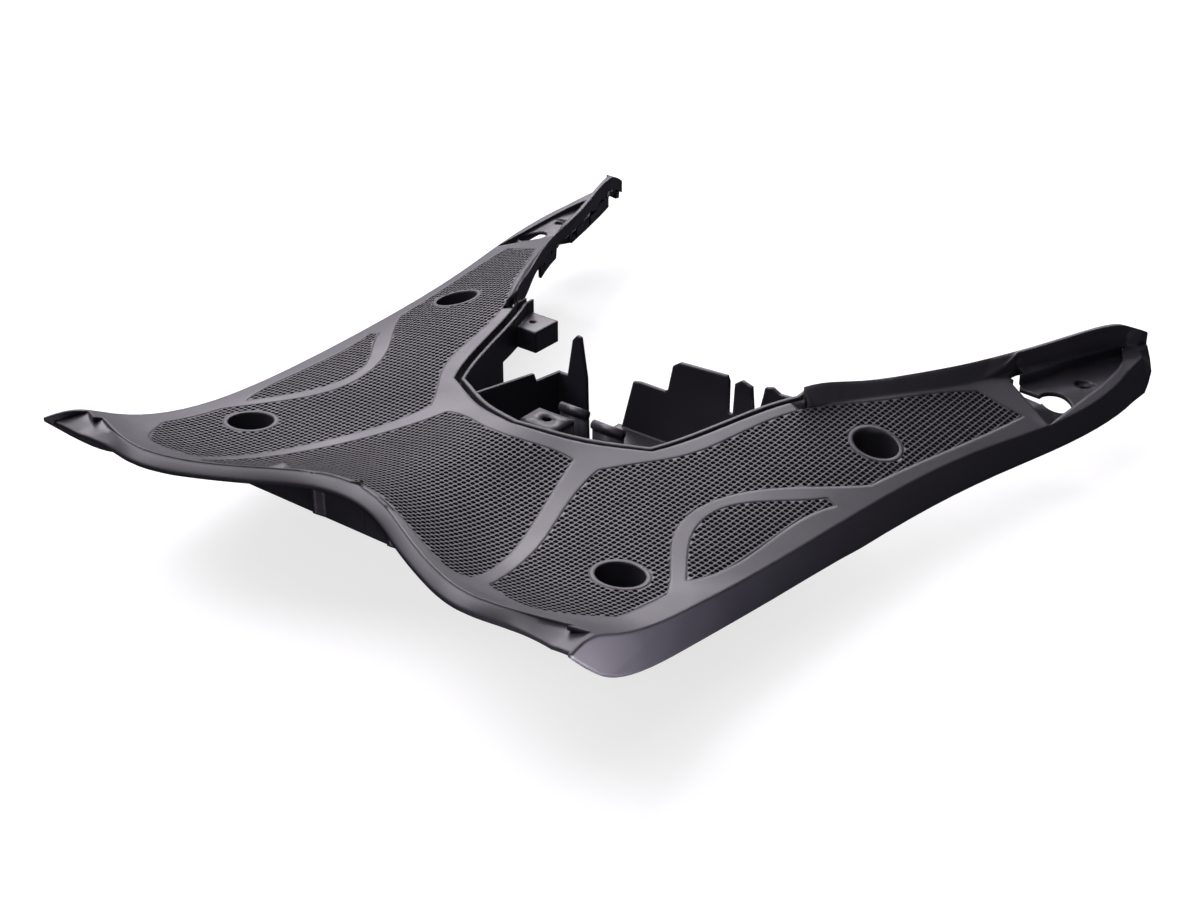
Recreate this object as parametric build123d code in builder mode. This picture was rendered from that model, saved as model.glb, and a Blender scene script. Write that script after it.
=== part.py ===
import os
from math import cos, exp, hypot, log1p, pi

from build123d import *

# Driving dimensions in millimetres: X runs across the board, Y from its front edge to the ears behind,
# and Z up from the underside of the tray
wall = 2.5
deck_middle = 70.0
tread_depth = 0.6

# Plan of the right half, from the middle of the front edge round to the middle of the bay
front_edge = [(0, -218), (23, -221.5), (46, -232), (88, -250), (112, -255), (136, -250), (160, -240)]
horn_root = (170, -241)
horn_tip = (176, -265)
outer_side = [(178, -264), (172, -218), (170, -166), (172.4, -94), (176, -35), (185.5, 50), (193.6, 90)]
ear_side = [(202.5, 128), (209.5, 175), (210, 198), (207.5, 227), (204.5, 249), (200, 265)]
inner_side = [(196, 264), (186, 223), (166, 169), (147.6, 116), (125.8, 72), (103, 30)]
bay_side = [(103, 30), (91.7, 0), (79, -43), (70, -64)]
bay_front = [(70, -64), (48, -77), (24, -90), (0, -97)]

# Lean of the outer skirt, which stands nearly upright at the horn and leans out towards the ear
crease_level = 46.0
upright_level = 53.0
lean_at_horn = 0.05
lean_at_ear = 0.5

# Lower edge of the skirt seen from the side
skirt_edge = [(-266, 84), (-250, 68), (-232, 53), (-210, 43), (-166, 35), (-100, 30.5), (-30, 28)]
ear_edge = [(224, 28), (240, 36), (268, 44)]

# Deck surface
front_middle = -218.0
front_bow = 38.0
front_wave = 230.0
crown_drop = 25.8
shoulder_drop = 5.8
rear_rise = 26.4
half_span = 200.0
rise_fade = 49.5
rise_return = 30.2
flare_rise = 39.6
flare_length = 58.7
flare_ease = 6.0
flare_start = 8.0
hump_rise = 8.0
hump_width = 50.0
hump_spread = 70.0
hump_fade = 60.0
hump_fall = 2.5

# Flange along the front edge
flange_reach = 6.0
flange_step = 4.0

# Screw wells in the deck
well_radius = 12.6
well_ring = 2.5
well_depth = 16.0
well_screw_radius = 3.0
front_well = (128, -166)
rear_well = (151.2, 29)

# Ear pocket, its keyhole and its bore
pocket_depth = 7.0
pocket_outer = [(204, 128), (205, 175), (205, 198), (202.5, 225), (199, 243)]
pocket_inner = [(196, 234), (187, 193), (178, 163), (171, 143)]
key_head = (194.5, 153.8)
key_head_radius = 9.5
key_neck = [(173, 144), (190, 152)]
key_notch = [(169.5, 147), (175.5, 161)]
ear_bore = (197, 185)
ear_bore_radius = 3.2
ear_sink_radius = 6.0
ear_sink_depth = 1.5
ear_boss_radius = 8.0
ear_boss_depth = 5.0

# Raised lip along the inner side of each arm, hollow from below
lip_width = 6.5
lip_wall = 2.0
lip_crest = [(24, 72), (40, 73.5), (60, 70.2), (93, 67.5), (135, 64.7), (180, 62.8), (223, 62.8), (266, 50)]
lip_depth = 15.0

# Hooks under the lip, each with its two stations along Y and its reach down from the lip
hooks = [(93, 129, 30), (149, 155, 22), (162, 177, 25), (189, 224, 30), (248, 259, 26)]
hook_wall = 2.5
hook_taper = 2.5

# Bay rim: a channel along the deck's edge and the wall that carries the tray
channel_width = 4.0
channel_depth = 9.0
rim_wall = 2.0
rim_drop = 1.3
rim_end = 39.0
rim_step = -6.0
rim_gap_top = 45.0

# Tray
tray_floor = 2.5
tray_wall = 2.0
divider_x = -55.0
corner_y = 11.0
corner_x = -32.0
rear_wall_y = 37.0
hinge_wall_y = -36.0
hinge_wall_top = 45.0
hinge_wall_end = 76.0
divider_side = [(-75, 0), (-75, 58), (-65, 58), (-14, 50), (-12, 44.4), (corner_y, 42), (corner_y, 0)]
tab_front = [(divider_x, 0), (divider_x, 42), (-47, 42), (-43, 66), (-40, 69.6), (-37, 69), (-33, 44), (corner_x, 0)]
rear_wall_front = [(-29, 0), (-20, 35), (-15, 36), (3, 36), (5.5, 38), (8.8, 54.3), (13.7, 57.7), (46.8, 59.7),
                   (48.3, 56.3), (48.3, 36.4), (51.5, 36.4), (52.5, 56.4), (57, 59.7), (64, 57.7), (65.5, 42),
                   (69, 42), (72, 55), (73, 60.3), (77.6, 61.7), (83, 59.1), (90, 59.6), (98, 62.3), (98, 0)]

# Under the deck
cross_wall_y = -214.0
cross_wall_level = 54.0
cross_wall_half = 100.0
cross_wall_ribs = [-50, -23, 5, 28]
cross_rib_reach = 12.0
rib_depth = 10.0
rib_wall = 2.0
cross_ribs = [-180, -120]
long_ribs = [40, 80]

# Bracket block on the far side of the bay
bracket_centre = (-88, 26.5)
bracket_width = 22.0
bracket_length = 21.0
bracket_top = 58.0
bracket_height = 13.5
bracket_hole_radius = 2.0

# Edges of the three tread fields of the right half
middle_front = [(0, -214), (18, -216), (40, -223), (64, -232.5), (86, -239)]
middle_side = [(92, -233), (80.8, -194), (61, -144), (44, -98)]
middle_rear = [(44, -98), (30, -100), (15, -105.5), (0, -108)]
wing_front = [(100, -229.5), (112, -233), (128, -234), (146, -218), (155, -204)]
wing_stripe = [(154.3, -164), (133.6, -133), (121, -110), (118.8, -90), (130.5, -56), (155.7, -22), (168.5, -3)]
wing_outer = [(168.5, -3), (173, 26), (182.7, 76), (190.5, 122)]
wing_inner = [(163, 118), (150, 97), (129, 57), (111.6, 29.6), (99, -3.4), (84, -58), (69, -80), (59, -96)]
wing_middle = [(59, -96), (67.3, -132), (81.5, -169), (92.7, -205), (100, -229.5)]
patch_outer = [(153, -146), (158.4, -129), (160, -82), (166, -33)]
patch_inner = [(159.5, -31.4), (142.5, -56), (128, -80), (128.5, -105), (136, -121), (153, -146)]

# Room that cutters and prisms need round the board
low = 15.0
high = 140.0
clear = 300.0


def front_line(x):
    """Y of the front edge across the board, for the flare alone."""
    return front_middle - front_bow / 2 * (1 - cos(2 * pi * x / front_wave))


def deck_height(x, y):
    """Height of the deck: a crowned sheet that rises to the rear, a hump along its middle, a flare in front."""
    across = x / half_span
    along = y / half_span
    sheet = deck_middle - crown_drop * across**2 - shoulder_drop * across**4
    rise = along * (rear_rise - rise_fade * across**2 + rise_return * across**4)
    behind = y - front_line(x)
    run = flare_ease * log1p(exp((behind + flare_start) / flare_ease)) - flare_start
    flare = flare_rise * exp(-run / flare_length)
    half_width = hump_width + hump_spread * exp(-(y - front_middle) / hump_fade)
    hump = hump_rise * exp(-hump_fall * (x / half_width) ** 2)
    return sheet + rise + flare + hump


def side_lean(y):
    """Lean of the outer skirt at a station, growing evenly from the horn to the ear."""
    share = (y - horn_tip[1]) / (ear_side[-1][1] - horn_tip[1])
    return lean_at_horn + (lean_at_ear - lean_at_horn) * share


def inset(points, distance):
    """Points of an open line, each moved square to it by a distance, to the left of its run."""
    moved = []
    for index, (x, y) in enumerate(points):
        x0, y0 = points[max(index - 1, 0)]
        x1, y1 = points[min(index + 1, len(points) - 1)]
        run = hypot(x1 - x0, y1 - y0)
        moved.append((x - (y1 - y0) / run * distance, y + (x1 - x0) / run * distance))
    return moved


def leaned(points, level):
    """Points of the outer side at a height, moved out as far as the skirt leans there."""
    return [(x + side_lean(y) * (crease_level - level), y) for x, y in points]


def board_plan(level):
    """Whole plan of the board at a height."""
    outer = leaned(outer_side + ear_side, level)
    reach = [(x, y - flange_reach) for x, y in front_edge]
    with BuildSketch(Plane.XY.offset(level)) as plan:
        with BuildLine():
            Spline(*reach)
            Polyline(reach[-1], horn_root, horn_tip, outer[0])
            Spline(*outer)
            Line(outer[-1], inner_side[0])
            Spline(*inner_side)
            Spline(*bay_side)
            Spline(*bay_front)
            mirror(about=Plane.YZ)
        make_face()
    return plan.sketch


def cavity_plan(level):
    """Plan of the room inside the outer skirts at a height, open to the front and across the bay."""
    outer = leaned(inset(outer_side + ear_side, wall), level)
    with BuildSketch(Plane.XY.offset(level)) as plan:
        with BuildLine():
            Polyline((0, -clear), (outer[0][0], -clear), outer[0])
            Spline(*outer)
            Line(outer[-1], (0, outer[-1][1]))
            mirror(about=Plane.YZ)
        make_face()
    return plan.sketch


def bay_plan(reach, end):
    """Plan of the bay with its edge moved in by a reach, closed by a straight line behind."""
    edge = inset(bay_side + bay_front[1:], -reach)
    edge[-1] = (0, bay_front[-1][1] + reach)
    corner = len(bay_side)
    with BuildSketch(Plane.XY.offset(low)) as plan:
        with BuildLine():
            Polyline((0, end), (edge[0][0], end), edge[0])
            Spline(*edge[:corner])
            Spline(*edge[corner - 1:])
            mirror(about=Plane.YZ)
        make_face()
    return plan.sketch


# Solid under the deck surface, over the whole board and a little more
columns = [-225 + 12.5 * step for step in range(37)]
rows = [-275 + 12.5 * step for step in range(45)]
deck_points = [[Vector(x, y, deck_height(x, y)) for y in rows] for x in columns]
deck_skin = Face.make_surface_from_array_of_points(deck_points)
with BuildPart() as deck_block:
    extrude(deck_skin, amount=clear, dir=(0, 0, -1))


def under_deck(depth):
    """The solid under the deck surface, lowered by a depth."""
    return deck_block.part.moved(Location((0, 0, -depth)))


def strip(first, second):
    """Plan inside two open lines that follow each other round it, on both sides of the board."""
    with BuildSketch(Plane.XY.offset(low)) as plan:
        with BuildLine():
            Spline(*first)
            Line(first[-1], second[0])
            Spline(*second)
            Line(second[-1], first[0])
        make_face()
        mirror(about=Plane.YZ)
    return plan.sketch


# Board body: its leaning plan, topped by the deck surface
with BuildPart() as body:
    loft([board_plan(low), board_plan(upright_level)], ruled=True)
    extrude(board_plan(upright_level), amount=high - upright_level)
    add(under_deck(0), mode=Mode.INTERSECT)

# Ear pocket: all that stands over its floor
with BuildPart() as pocket:
    extrude(strip(pocket_outer, pocket_inner), amount=high)
    add(under_deck(pocket_depth), mode=Mode.SUBTRACT)

with BuildPart() as pocket_room:
    room_outer = inset(pocket_outer, -wall)
    room_inner = inset(pocket_inner, -wall)
    room_outer[0] = (room_outer[0][0], room_outer[0][1] - 2 * wall)
    room_inner[-1] = (room_inner[-1][0], room_inner[-1][1] - 2 * wall)
    extrude(strip(room_outer, room_inner), amount=high)
    add(under_deck(pocket_depth + wall), mode=Mode.SUBTRACT)

# Room under the deck, with a lower ceiling below the ear pocket
with BuildPart() as cavity:
    loft([cavity_plan(low), cavity_plan(upright_level)], ruled=True)
    extrude(cavity_plan(upright_level), amount=high - upright_level)
    add(under_deck(wall), mode=Mode.INTERSECT)
    add(pocket_room.part, mode=Mode.SUBTRACT)

# Everything below the skirt's lower edge
with BuildPart() as below_skirt:
    with BuildSketch(Plane.YZ):
        with BuildLine():
            Spline(*skirt_edge)
            Line(skirt_edge[-1], ear_edge[0])
            Spline(*ear_edge)
            Polyline(ear_edge[-1], (clear, 0), (-clear, 0), skirt_edge[0])
        make_face()
    extrude(amount=clear, both=True)

# Step along the front edge that leaves a lower flange in front of the deck
with BuildPart() as flange_cut:
    ahead = [(x, y - 3 * flange_reach) for x, y in front_edge]
    with BuildSketch(Plane.XY.offset(low)):
        with BuildLine():
            Spline(*front_edge)
            Line(front_edge[-1], ahead[-1])
            Spline(*ahead)
            mirror(about=Plane.YZ)
        make_face()
    extrude(amount=high)
    add(under_deck(flange_step), mode=Mode.SUBTRACT)

# Tread fields, sunk a little below the smooth borders and clear of the rings round the wells
with BuildPart() as tread:
    with BuildSketch(Plane.XY.offset(low)):
        with BuildLine():
            Spline(*middle_front)
            Line(middle_front[-1], middle_side[0])
            Spline(*middle_side)
            Spline(*middle_rear)
            mirror(about=Plane.YZ)
        make_face()
        with BuildLine():
            Spline(*wing_front)
            Line(wing_front[-1], wing_stripe[0])
            Spline(*wing_stripe)
            Spline(*wing_outer)
            Line(wing_outer[-1], wing_inner[0])
            Spline(*wing_inner)
            Spline(*wing_middle)
        make_face()
        with BuildLine():
            Spline(*patch_outer)
            Line(patch_outer[-1], patch_inner[0])
            Spline(*patch_inner)
        make_face()
        with Locations(front_well, rear_well):
            Circle(well_radius + well_ring, mode=Mode.SUBTRACT)
        mirror(about=Plane.YZ)
    extrude(amount=high)
    add(under_deck(tread_depth), mode=Mode.SUBTRACT)

# Cups of the screw wells and the rooms inside them
with BuildPart() as cups:
    for centre in (front_well, rear_well):
        cup_floor = deck_height(*centre) - well_depth
        with BuildSketch(Plane.XY.offset(cup_floor - wall)):
            with Locations(centre):
                Circle(well_radius + wall)
            mirror(about=Plane.YZ)
        extrude(amount=high)
    add(under_deck(wall / 2), mode=Mode.INTERSECT)

with BuildPart() as well_rooms:
    for centre in (front_well, rear_well):
        cup_floor = deck_height(*centre) - well_depth
        with BuildSketch(Plane.XY.offset(cup_floor)):
            with Locations(centre):
                Circle(well_radius)
            mirror(about=Plane.YZ)
        extrude(amount=high)
        with BuildSketch(Plane.XY):
            with Locations(centre):
                Circle(well_screw_radius)
            mirror(about=Plane.YZ)
        extrude(amount=high)

# Keyholes and bores of the ears
ear_floor = deck_height(*ear_bore) - pocket_depth
with BuildPart() as ear_bosses:
    with BuildSketch(Plane.XY.offset(ear_floor - ear_boss_depth)):
        with Locations(ear_bore):
            Circle(ear_boss_radius)
        mirror(about=Plane.YZ)
    extrude(amount=high)
    add(under_deck(pocket_depth + wall / 2), mode=Mode.INTERSECT)

with BuildPart() as ear_holes:
    with BuildSketch():
        with Locations(key_head):
            Circle(key_head_radius)
        for (x0, y0), (x1, y1) in (key_neck, key_notch):
            with Locations(((x0 + x1) / 2, (y0 + y1) / 2)):
                Rectangle(x1 - x0, y1 - y0)
        with Locations(ear_bore):
            Circle(ear_bore_radius)
        mirror(about=Plane.YZ)
    extrude(amount=high)
    with BuildSketch(Plane.XY.offset(ear_floor - ear_sink_depth)):
        with Locations(ear_bore):
            Circle(ear_sink_radius)
        mirror(about=Plane.YZ)
    extrude(amount=high)

# Raised lips along the arms, each with the hooks that hang from it
lip_line = list(reversed(inset(inner_side, lip_width)))
with BuildPart() as lips:
    extrude(strip(inner_side, lip_line), amount=high)
    with BuildSketch(Plane.YZ):
        with BuildLine():
            Spline(*lip_crest)
            Line(lip_crest[-1], (lip_crest[-1][0], lip_crest[-1][1] - lip_depth))
            Spline(*[(y, z - lip_depth) for y, z in reversed(lip_crest)])
            Line((lip_crest[0][0], lip_crest[0][1] - lip_depth), lip_crest[0])
        make_face()
    extrude(amount=clear, both=True, mode=Mode.INTERSECT)

with BuildPart() as lip_rooms:
    near_line = inset(inner_side, lip_wall)
    far_line = list(reversed(inset(inner_side, lip_width - lip_wall)))
    extrude(strip(near_line, far_line), amount=high)
    with BuildSketch(Plane.YZ):
        with BuildLine():
            Spline(*[(y, z - wall) for y, z in lip_crest])
            Polyline((lip_crest[-1][0], lip_crest[-1][1] - wall), (lip_crest[-1][0], 0), (lip_crest[0][0], 0))
            Line((lip_crest[0][0], 0), (lip_crest[0][0], lip_crest[0][1] - wall))
        make_face()
    extrude(amount=clear, both=True, mode=Mode.INTERSECT)

with BuildPart() as hook_row:
    extrude(strip(inner_side, list(reversed(inset(inner_side, hook_wall)))), amount=high)
    with BuildSketch(Plane.YZ):
        for start, end, reach in hooks:
            top = 66 - start / 20
            with BuildLine():
                hook = [(start, top), (start + 1, top - reach), (end - hook_taper, top - reach), (end, top)]
                Polyline(*hook, close=True)
            make_face()
    extrude(amount=clear, both=True, mode=Mode.INTERSECT)

# Bay rim: the deck's edge wall, the web of the channel and the wall that carries the tray
rim_outside = channel_width + rim_wall
with BuildPart() as rim:
    extrude(bay_plan(-wall, rim_end), amount=high)
    extrude(bay_plan(rim_outside, clear), amount=high, mode=Mode.SUBTRACT)
    add(under_deck(rim_drop), mode=Mode.INTERSECT)

with BuildPart() as channel:
    extrude(bay_plan(0, clear), amount=high)
    extrude(bay_plan(channel_width, clear), amount=high, mode=Mode.SUBTRACT)
    add(under_deck(channel_depth), mode=Mode.SUBTRACT)

with BuildPart() as below_channel:
    extrude(bay_plan(-2 * wall, clear), amount=high)
    extrude(bay_plan(channel_width, clear), amount=high, mode=Mode.SUBTRACT)
    add(under_deck(channel_depth + wall), mode=Mode.INTERSECT)

# Lower stretch of the rim wall that is left out behind the tray
with BuildPart() as rim_gap:
    with BuildSketch(Plane.YZ):
        with BuildLine():
            Polyline((rim_step, -1), (rim_step, rim_gap_top), (clear, rim_gap_top), (clear, -1), close=True)
        make_face()
    extrude(amount=clear, both=True)

# Tray: its floor, the divider, the tab behind it, the hinge wall and the rear wall
with BuildPart() as tray:
    extrude(bay_plan(channel_width, rear_wall_y + tray_wall).moved(Location((0, 0, -low))), amount=tray_floor)
    with BuildSketch():
        with BuildLine():
            Polyline((-clear, corner_y), (corner_x, corner_y), (corner_x, clear), (-clear, clear), close=True)
        make_face()
    extrude(amount=tray_floor, mode=Mode.SUBTRACT)
    with BuildSketch(Plane.YZ.offset(divider_x)):
        with BuildLine():
            Polyline(*divider_side, close=True)
        make_face()
    extrude(amount=tray_wall)
    with BuildSketch(Plane.XZ.offset(-corner_y)):
        with BuildLine():
            Polyline(*tab_front, close=True)
        make_face()
    extrude(amount=tray_wall)
    with BuildSketch(Plane.XZ.offset(-rear_wall_y)):
        with BuildLine():
            Polyline(*rear_wall_front, close=True)
        make_face()
    extrude(amount=-tray_wall)
    with BuildSketch(Plane.XZ.offset(-hinge_wall_y)):
        with Locations(((divider_x + hinge_wall_end) / 2, hinge_wall_top / 2)):
            Rectangle(hinge_wall_end - divider_x, hinge_wall_top)
    extrude(amount=-tray_wall)

# Cross wall under the deck with its forward ribs, and the grid of ribs behind it
with BuildPart() as ribs:
    with BuildSketch(Plane.XY.offset(cross_wall_level)):
        with Locations((0, cross_wall_y)):
            Rectangle(2 * cross_wall_half, wall)
        for x in cross_wall_ribs:
            with Locations((x, cross_wall_y - cross_rib_reach / 2)):
                Rectangle(rib_wall, cross_rib_reach)
    extrude(amount=high)
    add(under_deck(wall / 2), mode=Mode.INTERSECT)

with BuildPart() as grid:
    with BuildSketch(Plane.XY.offset(low)):
        for y in cross_ribs:
            with Locations((0, y)):
                Rectangle(2 * cross_wall_half, rib_wall)
        for x in long_ribs:
            with Locations((x, (cross_wall_y + cross_ribs[-1]) / 2), (-x, (cross_wall_y + cross_ribs[-1]) / 2)):
                Rectangle(rib_wall, cross_ribs[-1] - cross_wall_y)
    extrude(amount=high)
    add(under_deck(wall / 2), mode=Mode.INTERSECT)
    add(under_deck(wall + rib_depth), mode=Mode.SUBTRACT)

# Bracket block with its screw hole
with BuildPart() as bracket:
    with BuildSketch(Plane.XY.offset(bracket_top - bracket_height)):
        with Locations(bracket_centre):
            Rectangle(bracket_width, bracket_length)
    extrude(amount=bracket_height)
    with Locations((bracket_centre[0], bracket_centre[1], bracket_top)):
        Hole(bracket_hole_radius)

with BuildPart() as rim_shell:
    add(rim.part)
    add(channel.part, mode=Mode.SUBTRACT)
    add(below_channel.part, mode=Mode.SUBTRACT)
    add(rim_gap.part, mode=Mode.SUBTRACT)

# The whole moulding
with BuildPart() as floorboard:
    add(body.part)
    add(pocket.part, mode=Mode.SUBTRACT)
    add(cavity.part, mode=Mode.SUBTRACT)
    add(below_skirt.part, mode=Mode.SUBTRACT)
    add(flange_cut.part, mode=Mode.SUBTRACT)
    add(cups.part)
    add(ear_bosses.part)
    add(lips.part)
    add(hook_row.part)
    add(lip_rooms.part, mode=Mode.SUBTRACT)
    add(well_rooms.part, mode=Mode.SUBTRACT)
    add(ear_holes.part, mode=Mode.SUBTRACT)
    add(tread.part, mode=Mode.SUBTRACT)
    add(ribs.part)
    add(grid.part)

    add(rim_shell.part)
    add(tray.part)
    add(bracket.part)

os.makedirs("parts", exist_ok=True)
floorboard.part.label = "floorboard"
export_step(floorboard.part, "parts/floorboard.step")
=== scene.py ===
"""Looks of a moulded scooter floorboard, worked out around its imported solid.

The board is shown as a shell of the solid's own skin, with the finer forms of its arms, ears and tray eased
in, in the finish of grained black polypropylene. Each sunk field of the deck is filled by a net plate, a
sheet that follows the deck and is pierced by rows of small pits. A thin front flange and the tray's small
fittings are added to it.
"""

import logging
import math
from dataclasses import dataclass, field
from enum import Enum

import bpy
import numpy as np
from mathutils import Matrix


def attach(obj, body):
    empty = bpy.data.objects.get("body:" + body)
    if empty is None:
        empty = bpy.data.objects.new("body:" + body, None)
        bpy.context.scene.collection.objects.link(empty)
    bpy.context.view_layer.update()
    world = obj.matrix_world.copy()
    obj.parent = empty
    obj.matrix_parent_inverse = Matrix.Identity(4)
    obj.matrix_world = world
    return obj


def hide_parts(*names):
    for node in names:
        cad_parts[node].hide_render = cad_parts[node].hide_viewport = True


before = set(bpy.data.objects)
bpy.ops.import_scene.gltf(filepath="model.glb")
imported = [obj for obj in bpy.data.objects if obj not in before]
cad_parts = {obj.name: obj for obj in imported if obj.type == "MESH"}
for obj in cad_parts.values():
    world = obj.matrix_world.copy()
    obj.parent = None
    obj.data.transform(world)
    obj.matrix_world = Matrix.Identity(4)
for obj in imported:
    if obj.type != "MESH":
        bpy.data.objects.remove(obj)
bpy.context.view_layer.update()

MM = 0.001
BODY = "root"

# Least length that anything is divided by, and least doubled area of a triangle with a direction, in mm
TINY = 1e-9
SLIVER = 1e-6
# Least cosine in the turn of a normal, which keeps one that is turned almost right round finite
LEAST_COSINE = -0.9
# Points measured against an outline at a time, which keeps the arrays small
BATCH = 4000

log = logging.getLogger("floorboard")


class Side(Enum):
    """Side of the board, by the sign of X there."""

    RIGHT = 1
    LEFT = -1


def linear_colour(code: str) -> tuple[float, float, float, float]:
    """Turn an sRGB hex colour into linear light.

    Args:
        code: Colour as "#rrggbb".

    Returns:
        Red, green, blue and alpha, each from 0 to 1, in linear light.
    """
    shares = [int(code[start:start + 2], 16) / 255 for start in (1, 3, 5)]
    red, green, blue = [
        share / 12.92 if share <= 0.04045 else ((share + 0.055) / 1.055) ** 2.4 for share in shares
    ]
    return red, green, blue, 1.0


def add_node(
    tree: bpy.types.NodeTree,
    kind: str,
    links: dict | None = None,
    values: dict | None = None,
    **settings: object,
) -> bpy.types.Node:
    """Add a shader node with its settings, socket values and links.

    Args:
        tree: Node tree that the node joins.
        kind: Type name of the node.
        links: Output sockets by the name or index of the input socket that each goes to.
        values: Plain values by the name or index of their input socket.
        settings: Properties of the node itself.

    Returns:
        The new node.
    """
    node = tree.nodes.new(kind)
    for name, setting in settings.items():
        setattr(node, name, setting)
    for socket, value in (values or {}).items():
        node.inputs[socket].default_value = value
    for socket, output in (links or {}).items():
        tree.links.new(output, node.inputs[socket])
    return node


def mesh_object(name: str, vertices: np.ndarray, face_groups: list[np.ndarray]) -> bpy.types.Object:
    """Make a mesh object at the origin from whole arrays.

    Args:
        name: Name of the object and its mesh.
        vertices: Points in metres, one row each.
        face_groups: Vertex numbers of the faces, one array for each number of corners, one row a face.

    Returns:
        The new object, linked to the scene.
    """
    groups = [group for group in face_groups if len(group)]
    corners = np.concatenate([group.ravel() for group in groups])
    sizes = np.concatenate([np.full(len(group), group.shape[1]) for group in groups])
    starts = np.concatenate([[0], np.cumsum(sizes)[:-1]])
    mesh = bpy.data.meshes.new(name)
    mesh.vertices.add(len(vertices))
    mesh.vertices.foreach_set("co", vertices.astype(np.float32).ravel())
    mesh.loops.add(len(corners))
    mesh.loops.foreach_set("vertex_index", corners.astype(np.int32))
    mesh.polygons.add(len(sizes))
    mesh.polygons.foreach_set("loop_start", starts.astype(np.int32))
    mesh.update(calc_edges=True)
    mesh.validate()
    piece = bpy.data.objects.new(name, mesh)
    bpy.context.scene.collection.objects.link(piece)
    return piece


@dataclass(frozen=True)
class DeckSurface:
    """Height of the deck in millimetres, by the formula that the moulding itself follows."""

    middle: float = 70.0
    half_span: float = 200.0
    crown_drop: float = 25.8
    shoulder_drop: float = 5.8
    rear_rise: float = 26.4
    rise_fade: float = 49.5
    rise_return: float = 30.2
    front_middle: float = -218.0
    front_bow: float = 38.0
    front_wave: float = 230.0
    flare_rise: float = 39.6
    flare_length: float = 58.7
    flare_ease: float = 6.0
    flare_start: float = 8.0
    hump_rise: float = 8.0
    hump_width: float = 50.0
    hump_spread: float = 70.0
    hump_fade: float = 60.0
    hump_fall: float = 2.5

    def height(self, x: np.ndarray, y: np.ndarray) -> np.ndarray:
        """Work out the deck's height: a crowned sheet rising to the rear, a flare in front and a middle hump.

        Args:
            x: Distances across the board.
            y: Distances along it.

        Returns:
            Heights above the floor, in the same shape.
        """
        across, along = x / self.half_span, y / self.half_span
        sheet = self.middle - self.crown_drop * across**2 - self.shoulder_drop * across**4
        rise = along * (self.rear_rise - self.rise_fade * across**2 + self.rise_return * across**4)
        bow = self.front_bow / 2 * (1 - np.cos(2 * np.pi * x / self.front_wave))
        behind = y - self.front_middle + bow + self.flare_start
        run = self.flare_ease * np.log1p(np.exp(behind / self.flare_ease)) - self.flare_start
        flare = self.flare_rise * np.exp(-run / self.flare_length)
        half_width = self.hump_width + self.hump_spread * np.exp(-(y - self.front_middle) / self.hump_fade)
        hump = self.hump_rise * np.exp(-self.hump_fall * (x / half_width) ** 2)
        return sheet + rise + flare + hump


def smooth_curve(points: list[tuple[float, float]], steps: int) -> np.ndarray:
    """Run a cubic spline through points, over its chord length, with end slopes from its four end points.

    Args:
        points: At least four points of the curve.
        steps: Points for each span.

    Returns:
        Points along the curve, one row each, without the last one.
    """
    knots = np.array(points, float)
    chords = np.hypot(*np.diff(knots, axis=0).T)
    places = np.concatenate([[0], np.cumsum(chords)])
    count = len(knots)
    system = np.zeros((count, count))
    sides = np.zeros((count, 2))
    inner = np.arange(1, count - 1)
    system[inner, inner - 1] = chords[1:]
    system[inner, inner] = 2 * (chords[:-1] + chords[1:])
    system[inner, inner + 1] = chords[:-1]
    pulls = np.diff(knots, axis=0) / chords[:, None]
    sides[1:-1] = 3 * (chords[1:, None] * pulls[:-1] + chords[:-1, None] * pulls[1:])
    system[0, 0] = system[-1, -1] = 1
    for axis in range(2):
        sides[0, axis] = np.polyval(np.polyder(np.polyfit(places[:4], knots[:4, axis], 3)), places[0])
        sides[-1, axis] = np.polyval(np.polyder(np.polyfit(places[-4:], knots[-4:, axis], 3)), places[-1])
    slopes = np.linalg.solve(system, sides)
    share = np.linspace(0, 1, steps, endpoint=False)[None, :, None]
    start, end = knots[:-1, None], knots[1:, None]
    leave, arrive = slopes[:-1, None] * chords[:, None, None], slopes[1:, None] * chords[:, None, None]
    curve = (
        (2 * share**3 - 3 * share**2 + 1) * start
        + (share**3 - 2 * share**2 + share) * leave
        + (3 * share**2 - 2 * share**3) * end
        + (share**3 - share**2) * arrive
    )
    return curve.reshape(-1, 2)


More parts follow.
